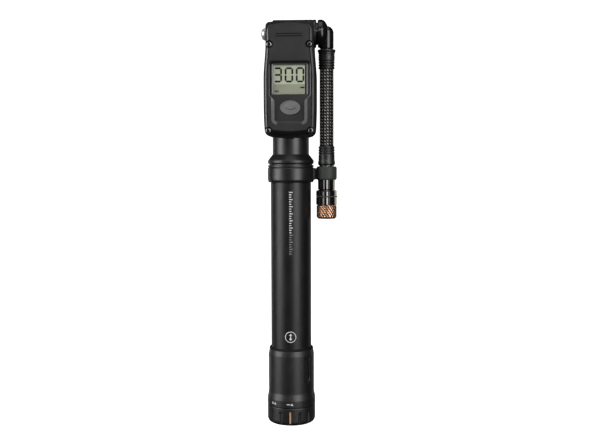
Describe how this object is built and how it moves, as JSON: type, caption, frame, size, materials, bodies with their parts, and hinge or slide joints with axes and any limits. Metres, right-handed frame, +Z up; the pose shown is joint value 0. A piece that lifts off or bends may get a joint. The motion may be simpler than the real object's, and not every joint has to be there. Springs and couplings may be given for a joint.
{
  "type": "shock suspension pump",
  "caption": "Slim upright hand pump with a digital gauge head, a short swivelling braided hose held in a clip, a screw-on valve chuck and a selector dial at its foot.",
  "frame": {"origin": "centre of the selector dial's flat bottom face, on the pump's axis, where the pump stands", "axes": "+Z up along the pump's axis towards the gauge head; the display faces -Y; the hose hangs on the +X side"},
  "size_m": [0.0503, 0.0325, 0.2673],
  "materials": {
    "black_anodised": "fine-blasted satin black anodising",
    "black_plastic": "fine-textured satin black",
    "cover_grey": "dark grey, lightly textured, with a smoother bevelled rim",
    "clip_grey": "matte dark grey-green",
    "button_rubber": "matte mid grey",
    "black_rubber": "matte black",
    "hose_braid": "woven glossy black yarn over a rubber hose",
    "chrome": "polished",
    "steel": "plain bright steel",
    "black_screw": "black oxide, semi-gloss",
    "brass": "turned",
    "gloss_black_chuck": "polished black anodising",
    "copper_collar": "copper-coloured anodising over a diamond knurl",
    "index_orange": "light orange filled line",
    "inner_aluminium": "bright drawn",
    "bearing_plastic": "natural acetal",
    "display_glass": "grey-green liquid crystal panel",
    "lens_clear": "clear polished window",
    "circuit_green": "green solder mask"
  },
  "bodies": {
    "barrel": {"barrel_tube": "black_anodised", "handle_sleeve": "black_plastic", "barrel_guide_bush": "bearing_plastic", "end_plug": "inner_aluminium", "end_plug_oring": "black_rubber", "dial_stop_pin": "steel", "detent_ball": "steel", "plunger_rod": "steel", "high_pressure_piston": "bearing_plastic", "high_pressure_piston_ring": "black_rubber"},
    "selector_dial": {"dial_knob": "black_plastic", "dial_index": "index_orange", "selector_stem": "brass", "selector_stem_oring": "black_rubber", "selector_stem_clip": "steel"},
    "head": {"clip_collar": "black_anodised", "neck": "black_anodised", "hose_clip": "clip_grey", "inner_tube": "inner_aluminium", "main_piston": "bearing_plastic", "main_piston_ring": "black_rubber", "rod_seal": "black_rubber", "rear_housing": "black_plastic", "front_cover": "cover_grey", "cover_screw_1": "black_screw", "cover_screw_2": "black_screw", "cover_screw_3": "black_screw", "cover_screw_4": "black_screw", "lcd_lens": "lens_clear", "lcd_panel": "display_glass", "circuit_board": "circuit_green", "tact_switch": "steel", "pressure_sensor": "steel", "coin_cell": "steel", "battery_door": "black_plastic", "battery_door_seal": "black_rubber", "valve_body": "black_anodised", "check_valve_seat": "brass", "check_valve_spring": "steel", "check_spring_stop": "steel", "bleed_seat": "brass", "bleed_spring_stop": "steel", "bleed_spring": "steel"},
    "check_poppet": {"check_valve_poppet": "bearing_plastic"},
    "bleed_valve": {"bleed_button": "chrome", "bleed_stem": "brass"},
    "power_key": {"power_button": "button_rubber"},
    "hose": {"swivel_elbow": "black_plastic", "swivel_oring": "black_rubber", "swivel_retaining_ring": "steel", "hose": "hose_braid", "upper_ferrule": "black_plastic", "lower_ferrule": "black_plastic", "hose_fitting": "brass", "chuck_body": "gloss_black_chuck", "chuck_sleeve": "gloss_black_chuck", "chuck_ring": "clip_grey", "valve_gland": "black_rubber", "depressor_pin": "brass"},
    "chuck_collar": {"knurled_collar": "copper_collar"}
  },
  "joints": [
    {"name": "pump_stroke", "type": "slide", "parent": "barrel", "child": "head", "axis": [0, 0, 1], "range_m": [0, 0.12]},
    {"name": "dial_turn", "type": "hinge", "parent": "barrel", "child": "selector_dial", "pos_m": [0, 0, 0], "axis": [0, 0, 1], "range_deg": [-45, 0]},
    {"name": "hose_swivel", "type": "hinge", "parent": "head", "child": "hose", "pos_m": [0.0169, 0, 0.2582], "axis": [1, 0, 0], "range_deg": [0, 345]},
    {"name": "collar_spin", "type": "hinge", "parent": "hose", "child": "chuck_collar", "pos_m": [0.0237, 0, 0.1373], "axis": [0, 0, 1], "continuous": true},
    {"name": "power_press", "type": "slide", "parent": "head", "child": "power_key", "axis": [0, 1, 0], "range_m": [0, 0.0008], "stiffness_N_per_m": 1500},
    {"name": "bleed_press", "type": "slide", "parent": "head", "child": "bleed_valve", "axis": [1, 0, 0], "range_m": [0, 0.002], "stiffness_N_per_m": 800, "deforming": ["bleed_spring"]},
    {"name": "check_valve_lift", "type": "slide", "parent": "head", "child": "check_poppet", "axis": [0, 0, 1], "range_m": [0, 0.0012], "stiffness_N_per_m": 150, "deforming": ["check_valve_spring"]}
  ]
}
